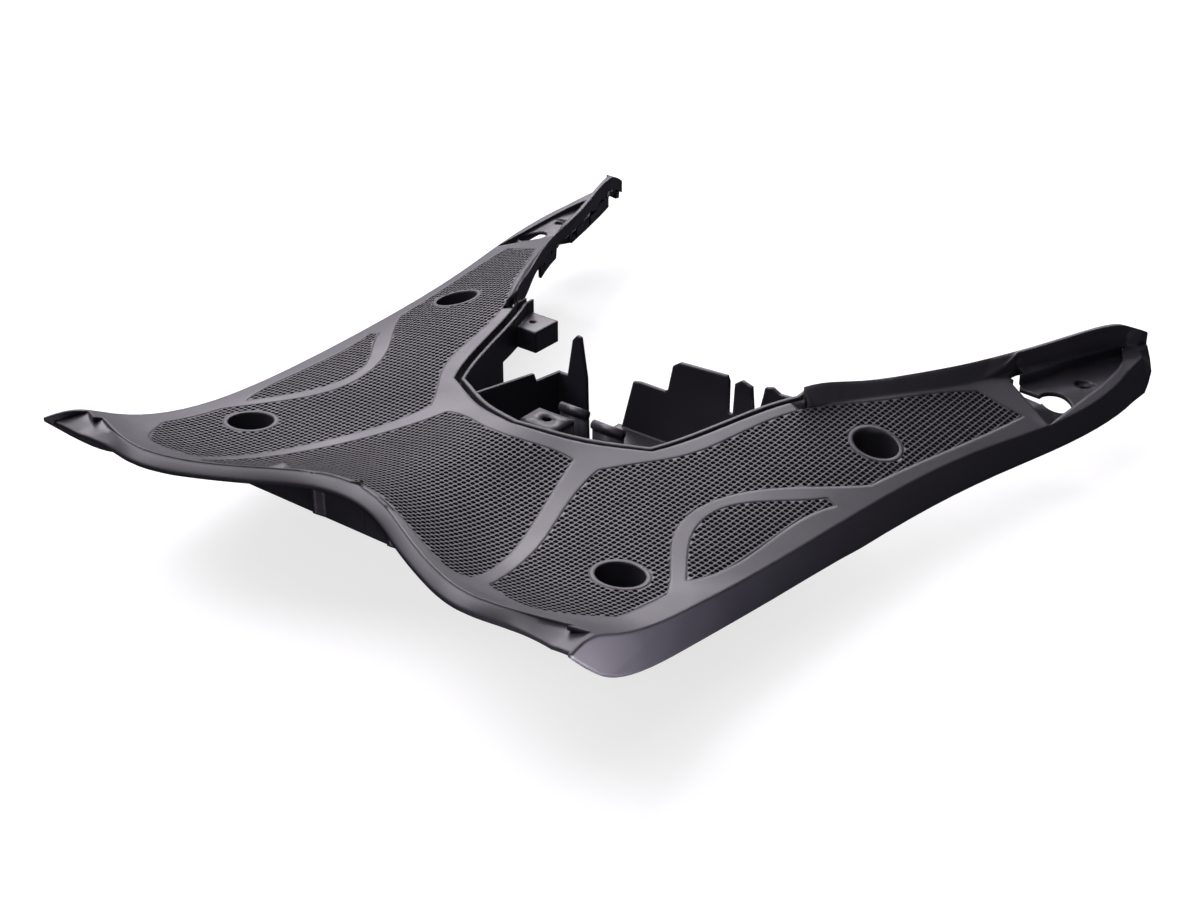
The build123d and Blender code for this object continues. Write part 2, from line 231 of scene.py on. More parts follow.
@dataclass(frozen=True)
class TreadField:
    """One sunk field of the deck, by the edges round it and the screw wells in it, in millimetres."""

    name: str
    edges: tuple[tuple[tuple[float, float], ...], ...]
    wells: tuple[tuple[float, float], ...] = ()
    well_reach: float = 15.1
    span_steps: int = 12

    def outline(self) -> np.ndarray:
        """Run the closed outline along its curved edges, joined by straight lines.

        Returns:
            Points along the outline, one row each.
        """
        return np.concatenate([
            np.vstack([smooth_curve(list(edge), self.span_steps), edge[-1]]) for edge in self.edges
        ])

    def inward(self, points: np.ndarray) -> tuple[np.ndarray, np.ndarray]:
        """Measure how far points lie inside the field, and the way out of it.

        The distance is that to the nearest piece of the outline, positive inside, or to the ring of a well
        where that is nearer. A point is inside when a ray from it crosses the outline an odd number of times.

        Args:
            points: Points in plan, one row each.

        Returns:
            Distances, and unit vectors that point out of the field, one row each.
        """
        outline = self.outline()
        start, step = outline, np.roll(outline, -1, axis=0) - outline
        length = np.maximum((step**2).sum(1), TINY)
        distance = np.empty(len(points))
        outward = np.empty((len(points), 2))
        for rows in np.array_split(np.arange(len(points)), max(1, len(points) // BATCH)):
            offset = points[rows, None] - start
            share = np.clip((offset * step).sum(2) / length, 0, 1)
            gap = share[..., None] * step - offset
            reach = np.hypot(gap[..., 0], gap[..., 1])
            nearest = reach.argmin(1)
            order = np.arange(len(rows))
            crosses = (offset[..., 1] < 0) != (offset[..., 1] - step[:, 1] < 0)
            at = offset[..., 0] - step[:, 0] * offset[..., 1] / np.where(step[:, 1] == 0, TINY, step[:, 1])
            sign = np.where((crosses & (at < 0)).sum(1) % 2 == 1, 1.0, -1.0)
            least = reach[order, nearest]
            distance[rows] = sign * least
            outward[rows] = sign[:, None] * gap[order, nearest] / np.maximum(least, TINY)[:, None]
        for centre in self.wells:
            offset = points - np.array(centre)
            radius = np.maximum(np.hypot(offset[:, 0], offset[:, 1]), TINY)
            near = radius - self.well_reach < distance
            distance = np.where(near, radius - self.well_reach, distance)
            outward = np.where(near[:, None], -offset / radius[:, None], outward)
        return distance, outward

    def on_side(self, side: Side) -> "TreadField":
        """Put a field that is drawn for the right on a side of the board.

        Args:
            side: Side that it goes to.

        Returns:
            The field there, named after the side.
        """
        edges = tuple(tuple((side.value * x, y) for x, y in edge) for edge in self.edges)
        wells = tuple((side.value * x, y) for x, y in self.wells)
        name = f"{self.name}_{side.name.lower()}"
        return TreadField(name, edges, wells, self.well_reach, self.span_steps)


@dataclass(frozen=True)
class NetPlate:
    """Plate that fills a tread field: a net of ridges round eight-sided pits, in millimetres."""

    pitch_across: float = 3.0
    pitch_along: float = 3.3
    pit_share: float = 0.82
    foot_share: float = 0.66
    sunk_top: float = 0.15
    pit_depth: float = 0.85
    underside: float = 1.1
    tuck: float = 0.6
    edge_margin: float = 0.25
    pit_sides: int = 8

    def build(self, tread: TreadField, deck: DeckSurface) -> bpy.types.Object:
        """Build the plate of one field.

        The plate is a lattice of cells. A corner of the lattice outside the field is pulled back to just
        outside its edge. Each cell whose middle is in the field has a pit: eight points round an oval, cut
        short where the field ends, and the same points nearer the middle at the pit's foot. Every point takes
        its height from the deck.

        Args:
            tread: Field that the plate fills.
            deck: Surface that it follows.

        Returns:
            The plate.
        """
        outline = tread.outline()
        low = np.floor(outline.min(0) / self.pitch) - 1
        high = np.ceil(outline.max(0) / self.pitch) + 1
        columns, rows = np.arange(low[0], high[0] + 1), np.arange(low[1], high[1] + 1)
        grid = np.stack(np.meshgrid(columns, rows, indexing="ij"), axis=-1) * self.pitch
        shape = grid.shape[:2]
        nodes = grid.reshape(-1, 2)
        inside, outward = tread.inward(nodes)
        past = np.maximum(-inside - self.tuck, 0)
        nodes = nodes - outward * past[:, None]
        number = np.arange(len(nodes)).reshape(shape)
        cells = np.stack([number[1:, 1:], number[:-1, 1:], number[:-1, :-1], number[1:, :-1]], axis=-1)
        used = (inside[cells] > 0).any(-1)
        middles = ((grid[:-1, :-1] + grid[1:, 1:]) / 2)[used]
        corners = cells[used]
        room, _ = tread.inward(middles)
        pitted = room > self.edge_margin
        rims = self.rim_points(tread, middles[pitted], room[pitted])
        feet = middles[pitted][:, None] + (rims - middles[pitted][:, None]) * self.foot_share / self.pit_share

        layers = [
            (nodes, self.sunk_top),
            (rims.reshape(-1, 2), self.sunk_top),
            (feet.reshape(-1, 2), self.pit_depth),
            (nodes, self.underside),
        ]
        heights = [deck.height(plan[:, 0], plan[:, 1]) - drop for plan, drop in layers]
        points = np.vstack([
            np.column_stack([plan, height]) for (plan, _), height in zip(layers, heights)
        ])
        faces = self.faces(corners, pitted, used, cells, len(nodes))
        plate = mesh_object(tread.name, points * MM, faces)
        # The pits' walls and feet take the second material, near-black as painted shade in the pits; the rest
        # take the first
        plain = len(faces[0]) + len(faces[1])
        shades = np.zeros(len(plate.data.polygons), np.int32)
        shades[plain:] = 1
        plate.data.polygons.foreach_set("material_index", shades)
        return plate

    @property
    def pitch(self) -> np.ndarray:
        """Width and length of a cell, in millimetres."""
        return np.array([self.pitch_across, self.pitch_along])

    def rim_points(self, tread: TreadField, middles: np.ndarray, room: np.ndarray) -> np.ndarray:
        """Place the points round each pit, cut short at the field's edge.

        Args:
            tread: Field that the pits lie in.
            middles: Middles of the pits, one row each.
            room: Distance from each middle to the field's edge.

        Returns:
            Points by pit and corner.
        """
        turns = (np.arange(self.pit_sides) + 0.5) * 2 * np.pi / self.pit_sides
        reach = np.stack([np.cos(turns), np.sin(turns)], axis=-1) * self.pitch * self.pit_share / 2
        reach = reach / math.cos(math.pi / self.pit_sides)
        rims = middles[:, None] + reach
        near = np.flatnonzero(room < self.pitch.max())
        there, _ = tread.inward(rims[near].reshape(-1, 2))
        there = there.reshape(len(near), -1) - self.edge_margin
        here = (room[near] - self.edge_margin)[:, None]
        share = np.where(there < 0, here / np.maximum(here - there, TINY), 1.0)
        rims[near] = middles[near, None] + reach * share[..., None]
        return rims

    def faces(
        self, corners: np.ndarray, pitted: np.ndarray, used: np.ndarray, cells: np.ndarray, count: int
    ) -> list[np.ndarray]:
        """List the plate's faces.

        Args:
            corners: Lattice corners of each cell in use, anticlockwise from the far right.
            pitted: Which of those cells have a pit.
            used: Which cells of the whole lattice are in use.
            cells: Lattice corners of every cell.
            count: Number of lattice corners.

        Returns:
            Arrays of faces: three and four corners on the plate's outside, then the pits' walls and feet.
        """
        sides = self.pit_sides
        held = corners[pitted]
        rim = count + np.arange(len(held) * sides).reshape(-1, sides)
        foot = rim + len(held) * sides
        under = count + 2 * len(held) * sides
        threes = [np.stack([held[:, turn], rim[:, 2 * turn + 1], rim[:, 2 * turn]], -1) for turn in range(4)]
        fours = [corners[~pitted]]
        for turn in range(4):
            after = (turn + 1) % 4
            outside, inside = [held[:, turn], held[:, after]], [rim[:, 2 * after], rim[:, 2 * turn + 1]]
            fours.append(np.stack(outside + inside, -1))
        fours.append(corners[:, ::-1] + under)
        padded = np.pad(used, 1)
        for axis, shift, first, second in ((0, 1, 3, 0), (0, -1, 1, 2), (1, 1, 0, 1), (1, -1, 2, 3)):
            beside = np.roll(padded, -shift, axis=axis)[1:-1, 1:-1]
            edge = cells[used & ~beside]
            fours.append(np.stack([
                edge[:, second], edge[:, first], edge[:, first] + under, edge[:, second] + under
            ], -1))
        walls = []
        for turn in range(sides):
            after = (turn + 1) % sides
            walls.append(np.stack([rim[:, turn], rim[:, after], foot[:, after], foot[:, turn]], -1))
        return [np.concatenate(threes), np.concatenate(fours), np.concatenate(walls), foot]


def eased(values: np.ndarray, start: float, end: float) -> np.ndarray:
    """Ease from 0 to 1 between two values, level at both ends.

    Args:
        values: Values to ease over.
        start: Value where the result leaves 0.
        end: Value where it reaches 1.

    Returns:
        Shares from 0 to 1, in the same shape.
    """
    share = np.clip((values - start) / (end - start), 0, 1)
    return share * share * (3 - 2 * share)


@dataclass(frozen=True)
class BoardShell:
    """The moulding with the finer forms of its arms, ears, hooks and cross wall, in millimetres.

    It is the solid's own skin, eased where the photographed board differs by a few millimetres: the tread
    fields are sunk below the nets' pits, the lip along each arm falls to the deck in a ramp, the ear's floor
    rises outwards, the ear's pocket reaches up to a narrow lip, the ear ends round, the hooks are short, the
    wall under the front edge has two low ribs, and the tray's wall under the hinge lugs is low.
    """

    name: str = "floorboard_shell"
    deck: DeckSurface = field(default_factory=DeckSurface)
    curve_steps: int = 12
    slack: float = 1.0
    level_gap: float = 0.5

    # Inner side of the arm in plan, and the crest of the lip along it by its station
    inner_side: tuple = ((196, 264), (186, 223), (166, 169), (147.6, 116), (125.8, 72), (103, 30))
    lip_crest: tuple = (
        (24, 72), (40, 73.5), (60, 70.2), (93, 67.5), (135, 64.7), (180, 62.8), (223, 62.8), (266, 50)
    )

    # Tread fields: their depth in the solid, and how much lower the shell has them
    tread_depth: float = 0.6
    tread_slack: float = 0.2
    tread_sink: float = 0.7

    # Ramp from the lip's inner edge down to the deck, which fades away beside the ear's pocket
    lip_width: float = 6.5
    lip_depth: float = 15.0
    lip_zone: tuple = (24.0, 262.0)
    ramp_fade: tuple = (138.0, 152.0)
    web: float = 2.5

    # Floor of the ear: where it starts, how far below the deck it lies, and its rise with the distance out
    floor_start: float = 127.0
    floor_drops: tuple = (5.8, 10.8)
    floor_width: tuple = (8.0, 30.0)
    floor_slack: float = 12.0
    floor_rise: float = 4.5

    # Hooks under the lip: half their thickness, the stations where they shorten, and by how much
    hook_width: float = 3.4
    hook_share: float = 0.45
    wall_zone: tuple = (44.0, 80.0)
    wall_lift: float = 6.0

    # Pocket of the ear: distances out from the inner side, before and after, and the stations where it eases
    pocket_from: tuple = (0.0, 2.0, 6.5, 11.0, 18.0)
    pocket_to: tuple = (0.0, 1.2, 2.4, 3.4, 18.0)
    pocket_start: tuple = (140.0, 156.0)
    pocket_end: tuple = (240.0, 256.0)

    # End of the ear: its tip is drawn in, and its outer side bulges
    ear_start: float = 228.0
    ear_end: float = 265.0
    ear_length_share: float = 0.7
    ear_onset: float = 0.5
    ear_bulge: float = 4.0
    bulge_start: tuple = (212.0, 242.0)
    bulge_end: tuple = (250.0, 266.0)
    bulge_width: float = 6.0

    # Wall under the front edge, with each of the solid's ribs by its place across and whether it stays
    cross_wall: tuple = (-230.0, -212.0)
    cross_wall_half: float = 101.0
    cross_wall_level: float = 58.0
    rib_front: float = -216.0
    rib_level: float = 63.5
    ribs: tuple = ((-50.0, False), (-23.0, True), (5.0, False), (28.0, True))
    rib_half: float = 2.0
    rib_reach: float = 6.0

    # Top of the tray's wall under the hinge lugs, by its span along X, Y and Z, and its new level
    hinge_wall: tuple = ((-54.0, 77.0), (-37.0, -33.0), (40.0, 46.0))
    hinge_wall_level: float = 26.0

    def build(self, solid: bpy.types.Object) -> bpy.types.Object:
        """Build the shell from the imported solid's skin.

        Args:
            solid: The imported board.

        Returns:
            The shell.
        """
        mesh = solid.data.copy()
        mesh.name = self.name
        count, corners, faces = len(mesh.vertices), len(mesh.loops), len(mesh.polygons)
        points, old_normals = np.empty(count * 3), np.empty(corners * 3)
        mesh.vertices.foreach_get("co", points)
        mesh.corner_normals.foreach_get("vector", old_normals)
        around = np.empty(corners, int)
        mesh.loops.foreach_get("vertex_index", around)
        around = around.reshape(faces, 3)
        points = points.reshape(-1, 3) / MM
        old_faces = self.facing(points, around)
        for change in (
            self.with_deep_treads, self.with_ramps, self.with_rising_floors,
            self.with_short_hooks, self.with_open_pockets, self.with_round_ears,
            self.with_plain_cross_wall, self.with_low_hinge_wall,
        ):
            points = change(points)
        new_faces = self.facing(points, around)
        mesh.vertices.foreach_set("co", (points * MM).ravel())
        normals = self.turned(old_normals.reshape(faces, 3, 3), old_faces, new_faces).reshape(-1, 3)
        mesh.normals_split_custom_set(normals.tolist())
        mesh.update()
        shell = bpy.data.objects.new(self.name, mesh)
        bpy.context.scene.collection.objects.link(shell)
        return shell

    @staticmethod
    def facing(points: np.ndarray, around: np.ndarray) -> np.ndarray:
        """Work out which way triangles face.

        Args:
            points: Points, one row each.
            around: Point numbers of the triangles, one row each.

        Returns:
            Unit vectors, zero where a triangle has no area.
        """
        first, second, third = (points[around[:, corner]] for corner in range(3))
        across = np.cross(second - first, third - first)
        size = np.linalg.norm(across, axis=1, keepdims=True)
        return np.where(size > SLIVER, across / np.maximum(size, SLIVER), 0.0)

    @staticmethod
    def turned(normals: np.ndarray, old: np.ndarray, new: np.ndarray) -> np.ndarray:
        """Turn the normals at the corners of triangles as the triangles themselves have turned.

        Args:
            normals: Normals by triangle and corner.
            old: Which way each triangle faced.
            new: Which way it faces now.

        Returns:
            Normals by triangle and corner.
        """
        axis = np.cross(old, new)[:, None]
        cosine = (old * new).sum(1)[:, None, None]
        along = (axis * normals).sum(2, keepdims=True)
        swung = normals * cosine + np.cross(axis, normals)
        swung += axis * along / (1 + np.maximum(cosine, LEAST_COSINE))
        flat = ((old == 0).all(1) | (new == 0).all(1))[:, None, None]
        return np.where(flat, normals, swung)

    def from_inner_side(self, points: np.ndarray) -> tuple[np.ndarray, np.ndarray, np.ndarray]:
        """Measure points from the inner side of their arm.

        Args:
            points: Points of the board, one row each.

        Returns:
            X of the inner side at each point, the side's stretch there, and the distance out from it.
        """
        line = smooth_curve(list(self.inner_side), self.curve_steps)[::-1]
        line = np.vstack([self.inner_side[-1], line])
        side = np.interp(points[:, 1], line[:, 1], line[:, 0])
        stretch = np.hypot(1, np.interp(points[:, 1], line[:, 1], np.gradient(line[:, 0], line[:, 1])))
        return side, stretch, (np.abs(points[:, 0]) - side) / stretch

    def crest(self, y: np.ndarray) -> np.ndarray:
        """Work out the height of the lip's crest.

        Args:
            y: Stations along the board.

        Returns:
            The crest's height at each of them.
        """
        line = smooth_curve(list(self.lip_crest), self.curve_steps)
        return np.interp(y, line[:, 0], line[:, 1])

    def below_deck(self, points: np.ndarray) -> np.ndarray:
        """Measure how far points lie below the deck's surface.

        Args:
            points: Points of the board, one row each.

        Returns:
            The depth of each of them.
        """
        return self.deck.height(points[:, 0], points[:, 1]) - points[:, 2]

    def with_deep_treads(self, points: np.ndarray) -> np.ndarray:
        """Sink the floors of the tread fields, so that the pits of the nets stay clear of them.

        Args:
            points: Points of the board, one row each.

        Returns:
            The points after the change.
        """
        moved = points.copy()
        moved[np.abs(self.below_deck(points) - self.tread_depth) < self.tread_slack, 2] -= self.tread_sink
        return moved

    def with_ramps(self, points: np.ndarray) -> np.ndarray:
        """Let the lip's top fall from its inner edge to the deck.

        Args:
            points: Points of the board, one row each.

        Returns:
            The points after the change.
        """
        _, _, out = self.from_inner_side(points)
        y, z = points[:, 1], points[:, 2]
        level = self.deck.height(points[:, 0], y)
        rise = np.maximum(self.crest(y) - level, 0)
        on_top = (out > self.lip_width - self.slack) & (out < self.lip_width + self.slack)
        on_top &= z > level + self.level_gap
        in_room = (out > self.slack) & (out <= self.lip_width - self.slack) & (z > level - self.web)
        held = (on_top | in_room) & (y > self.lip_zone[0] - self.slack) & (y < self.lip_zone[1])
        fall = rise * np.clip(out / self.lip_width, 0, 1) * (1 - eased(y, *self.ramp_fade))
        moved = points.copy()
        moved[:, 2] = np.where(held, z - fall, z)
        return moved

    def with_rising_floors(self, points: np.ndarray) -> np.ndarray:
        """Let the ear's floor rise towards its outer rim.

        Args:
            points: Points of the board, one row each.

        Returns:
            The points after the change.
        """
        _, _, out = self.from_inner_side(points)
        drop = self.below_deck(points)
        held = (points[:, 1] > self.floor_start) & (drop > self.floor_drops[0]) & (drop < self.floor_drops[1])
        held &= out < self.floor_width[1] + self.floor_slack
        moved = points.copy()
        moved[:, 2] += np.where(held, self.floor_rise * eased(out, *self.floor_width), 0)
        return moved

    def with_short_hooks(self, points: np.ndarray) -> np.ndarray:
        """Draw the hooks up under the lip.

        Args:
            points: Points of the board, one row each.

        Returns:
            The points after the change.
        """
        _, _, out = self.from_inner_side(points)
        y, z = points[:, 1], points[:, 2]
        foot = self.crest(y) - self.lip_depth
        beside = (np.abs(out) < self.hook_width) & (y > self.lip_zone[0]) & (z < foot + self.level_gap)
        share = eased(y, *self.wall_zone)
        moved = points.copy()
        moved[:, 2] = np.where(beside, z + share * (self.wall_lift + (foot - z) * (1 - self.hook_share)), z)
        return moved

    def with_open_pockets(self, points: np.ndarray) -> np.ndarray:
        """Draw the ear's pocket up to the lip, and the lip in to its inner edge.

        Args:
            points: Points of the board, one row each.

        Returns:
            The points after the change.
        """
        side, stretch, out = self.from_inner_side(points)
        y = points[:, 1]
        share = eased(y, *self.pocket_start) * (1 - eased(y, *self.pocket_end))
        held = (out > 0) & (out < self.pocket_from[-1])
        drawn = np.interp(out, self.pocket_from, self.pocket_to)
        moved = points.copy()
        new = side + (out + (drawn - out) * share) * stretch
        moved[:, 0] = np.where(held, np.sign(points[:, 0]) * new, points[:, 0])
        return moved

    def with_round_ears(self, points: np.ndarray) -> np.ndarray:
        """Shorten the ear's tip and round its outer side.

        Args:
            points: Points of the board, one row each.

        Returns:
            The points after the change.
        """
        _, _, out = self.from_inner_side(points)
        y = points[:, 1]
        bulge = self.ear_bulge * eased(y, *self.bulge_start) * (1 - eased(y, *self.bulge_end))
        past = np.maximum(y - self.ear_start, 0)
        onset = np.clip(past / (self.ear_end - self.ear_start) + self.ear_onset, 0, 1)
        moved = points.copy()
        moved[:, 0] += np.sign(points[:, 0]) * bulge * np.clip(out / self.bulge_width, 0, 1)
        moved[:, 1] = y - past * (1 - self.ear_length_share) * onset
        return moved

    def with_plain_cross_wall(self, points: np.ndarray) -> np.ndarray:
        """Raise the cross wall's lower edge, and leave two ribs on it.

        Args:
            points: Points of the board, one row each.

        Returns:
            The points after the change.
        """
        x, y, z = points.T
        here = (y > self.cross_wall[0]) & (y < self.cross_wall[1]) & (np.abs(x) < self.cross_wall_half)
        low = here & (z < self.cross_wall_level)
        moved = points.copy()
        moved[low, 2] = self.cross_wall_level
        for place, stays in self.ribs:
            rib = here & (np.abs(x - place) < self.rib_half) & (y < self.rib_front)
            moved[rib & low, 2] = self.rib_level
            moved[rib, 1] = self.rib_front + (-self.rib_reach if stays else self.slack)
            moved[rib, 2] -= self.level_gap if stays else 0
        return moved

    def with_low_hinge_wall(self, points: np.ndarray) -> np.ndarray:
        """Lower the tray's wall under the hinge lugs.

        Args:
            points: Points of the board, one row each.

        Returns:
            The points after the change.
        """
        low, high = np.array(self.hinge_wall).T
        moved = points.copy()
        moved[((points > low) & (points < high)).all(1), 2] = self.hinge_wall_level
        return moved


@dataclass(frozen=True)
class FrontFlange:
    """Thin flange that slopes down in front of the deck's front edge, in millimetres."""

    name: str = "front_flange"
    deck_edge: tuple = (
        (0, -218), (23, -221.5), (46, -232), (88, -250), (112, -255), (136, -250), (160, -240), (170, -241)
    )
    edge: tuple = (
        (0, -224), (23, -227.5), (46, -238), (88, -256), (112, -261), (136, -257), (160, -257), (174, -260)
    )
    edge_levels: tuple = (82.9, 82.1, 81.1, 79.6, 80.1, 78.6, 78.2, 81.5)
    lap: float = 3.5
    step: float = 0.6
    thickness: float = 2.2
    steps: int = 10
    bow: float = 0.35
    crease_degrees: float = 40.0

    def build(self, deck: DeckSurface) -> bpy.types.Object:
        """Build the flange of both halves as one closed strip.

        At each station the strip has a row of points under the deck, one at the deck's edge, one halfway out,
        bowed up from the straight line, and one at the flange's own edge, with the same four again on its
        underside.

        Args:
            deck: Surface whose front edge it follows.

        Returns:
            The flange.
        """
        inner = np.vstack([smooth_curve(list(self.deck_edge), self.steps), self.deck_edge[-1]])
        outer = np.vstack([smooth_curve(list(self.edge), self.steps), self.edge[-1]])
        spots = np.arange(len(self.edge))
        levels = np.interp(np.linspace(0, len(spots) - 1, len(outer)), spots, self.edge_levels)
        lapped = inner + (0, self.lap)
        top = deck.height(inner[:, 0], inner[:, 1]) - self.step
        back = deck.height(lapped[:, 0], lapped[:, 1]) - self.step
        middle = (inner + outer) / 2
        middle_level = top * (1 - self.bow) + levels * self.bow
        rows = [
            np.column_stack([lapped, back]), np.column_stack([inner, top]),
            np.column_stack([middle, middle_level]), np.column_stack([outer, levels]),
        ]
        rows += [row - (0, 0, self.thickness) for row in reversed(rows)]
        ring = np.stack(rows, axis=1)
        ring = np.concatenate([(ring * (-1, 1, 1))[:0:-1], ring])
        stations, around = ring.shape[:2]
        number = np.arange(stations * around).reshape(stations, around)
        after = np.roll(number, -1, axis=1)
        fours = np.stack([number[:-1], after[:-1], after[1:], number[1:]], axis=-1).reshape(-1, 4)
        ends = np.stack([number[0][::-1], number[-1]])
        flange = mesh_object(self.name, ring.reshape(-1, 3) * MM, [fours, ends])
        flange.data.shade_smooth()
        flange.data.set_sharp_from_angle(angle=math.radians(self.crease_degrees))
        return flange


@dataclass(frozen=True)
class TrayFittings:
    """Two hinge lugs with their curled barrels, and the drilled seat in front of them, in millimetres.

    A lug is given by its two ends in X and its front in Y. The seat is given by its left, right, front and
    rear sides and by the levels of its foot, of the underside of its top and of that top. The hole is given
    by its middle and radius.
    """

    name: str = "tray_fittings"
    lugs: tuple = ((-20.0, -1.0, -31.0), (8.0, 29.0, -37.0))
    lug_wall: float = 2.0
    lug_foot: float = 2.0
    barrel_level: float = 46.4
    barrel_radius: float = 2.7
    seat: tuple = (-25.0, 0.0, -60.0, -43.0)
    seat_levels: tuple = (2.0, 47.0, 49.0)
    seat_wall: float = 2.0
    hole: tuple = (-13.0, -51.0, 3.0)
    sides: int = 24

    def build(self) -> bpy.types.Object:
        """Build the fittings as one object of closed forms that stand in the tray's floor.

        Returns:
            The fittings.
        """
        left, right, front, rear = self.seat
        foot, under, top = self.seat_levels
        turns = np.arange(self.sides) * 2 * np.pi / self.sides
        circle = np.column_stack([np.cos(turns), np.sin(turns)])
        forms = []
        for start, end, y in self.lugs:
            box = np.array([(start, y), (end, y), (end, y + self.lug_wall), (start, y + self.lug_wall)])
            forms.append(self.prism(box, self.lug_foot, self.barrel_level))
            round_plan = circle * self.barrel_radius + (y + self.lug_wall / 2, self.barrel_level)
            points, faces = self.prism(round_plan, start, end)
            forms.append((points[:, [2, 0, 1]], faces))
        middle = np.array([(left + right) / 2, (front + rear) / 2])
        half = np.array([(right - left) / 2, (rear - front) / 2])
        square = circle / np.maximum(np.abs(circle[:, :1]), np.abs(circle[:, 1:]))
        outer = square * half + middle
        inner = square * (half - self.seat_wall) + middle
        hole = circle * self.hole[2] + self.hole[:2]
        forms.append(self.tube(outer, inner, foot, under))
        forms.append(self.tube(outer, hole, under, top))
        vertices, groups, count = [], {}, 0
        for points, faces in forms:
            for face in faces:
                groups.setdefault(face.shape[1], []).append(face + count)
            vertices.append(points)
            count += len(points)
        joined = [np.concatenate(group) for group in groups.values()]
        return mesh_object(self.name, np.vstack(vertices) * MM, joined)

    @staticmethod
    def prism(plan: np.ndarray, low: float, high: float) -> tuple[np.ndarray, list[np.ndarray]]:
        """Raise a plan between two levels.

        Args:
            plan: Corners, anticlockwise.
            low: Lower level.
            high: Upper level.

        Returns:
            Points, and arrays of faces.
        """
        count = len(plan)
        points = np.vstack([np.column_stack([plan, np.full(count, level)]) for level in (low, high)])
        first = np.arange(count)
        after = np.roll(first, -1)
        walls = np.stack([first, after, after + count, first + count], -1)
        return points, [walls, first[None, ::-1], first[None] + count]

    @staticmethod
    def tube(
        outer: np.ndarray, inner: np.ndarray, low: float, high: float
    ) -> tuple[np.ndarray, list[np.ndarray]]:
        """Raise the ring between two plans of as many corners.

        Args:
            outer: Corners of the outer plan, anticlockwise.
            inner: Corners of the inner one.
            low: Lower level.
            high: Upper level.

        Returns:
            Points, and one array of faces.
        """
        count = len(outer)
        rings = [(outer, low), (outer, high), (inner, high), (inner, low)]
        points = np.vstack([np.column_stack([plan, np.full(count, level)]) for plan, level in rings])
        first = np.arange(count)
        after = np.roll(first, -1)
        faces = []
        for ring in range(len(rings)):
            here, beyond = ring * count, (ring + 1) % len(rings) * count
            faces.append(np.stack([first + here, after + here, after + beyond, first + beyond], -1))
        return points, [np.concatenate(faces)]


@dataclass(frozen=True)
class MouldedPolypropylene:
    """Black polypropylene, injection moulded against a finely grained steel mould.

    The eye gets a near-black plastic with a soft satin sheen that goes pale grey where a large light is
    mirrored in it at a low angle, with a fine grain and slightly uneven gloss from the melt's flow.
    """

    name: str
    colour: str = "#222127"
    worn_colour: str = "#29282e"
    roughness: float = 0.44
    roughness_swing: float = 0.07
    refraction: float = 1.49
    specular: float = 0.5
    grain_mm: float = 0.45
    grain_height_mm: float = 0.02
    grain_detail: float = 2.0
    grain_roughness: float = 0.6
    flow_mm: float = 55.0
    flow_detail: float = 3.0
    flow_twist: float = 0.6
    flow_range: tuple[float, float] = (0.3, 0.7)
    edge_radius_mm: float = 2.4
    edge_samples: int = 6

    def build(self) -> bpy.types.Material:
        """Make the material's nodes.

        A fine grain goes into the bump over softly rounded edges, and a slow flow pattern into gloss and
        colour.

        Returns:
            The material.
        """
        material = bpy.data.materials.new(self.name)
        material.use_nodes = True
        tree = material.node_tree
        shader = tree.nodes["Principled BSDF"]
        shader.inputs["IOR"].default_value = self.refraction
        shader.inputs["Specular IOR Level"].default_value = self.specular
        place = add_node(tree, "ShaderNodeTexCoord")
        grain = add_node(
            tree, "ShaderNodeTexNoise", {"Vector": place.outputs["Object"]},
            {"Scale": 1 / (self.grain_mm * MM), "Detail": self.grain_detail,
             "Roughness": self.grain_roughness},
        )
        flow = add_node(
            tree, "ShaderNodeTexNoise", {"Vector": place.outputs["Object"]},
            {"Scale": 1 / (self.flow_mm * MM), "Detail": self.flow_detail, "Distortion": self.flow_twist},
        )
        rounded = add_node(
            tree, "ShaderNodeBevel", values={"Radius": self.edge_radius_mm * MM}, samples=self.edge_samples
        )
        bump = add_node(
            tree, "ShaderNodeBump", {"Height": grain.outputs["Fac"], "Normal": rounded.outputs["Normal"]},
            {"Strength": 1.0, "Distance": self.grain_height_mm * MM},
        )
        gloss = add_node(
            tree, "ShaderNodeMapRange", {"Value": flow.outputs["Fac"]},
            {"From Min": self.flow_range[0], "From Max": self.flow_range[1],
             "To Min": self.roughness - self.roughness_swing,
             "To Max": self.roughness + self.roughness_swing},
        )
        tint = add_node(tree, "ShaderNodeMix", {"Factor": flow.outputs["Fac"]}, data_type="RGBA")
        tint.inputs[6].default_value = linear_colour(self.colour)
        tint.inputs[7].default_value = linear_colour(self.worn_colour)
        tree.links.new(tint.outputs[2], shader.inputs["Base Color"])
        tree.links.new(gloss.outputs["Result"], shader.inputs["Roughness"])
        tree.links.new(bump.outputs["Normal"], shader.inputs["Normal"])
        return material


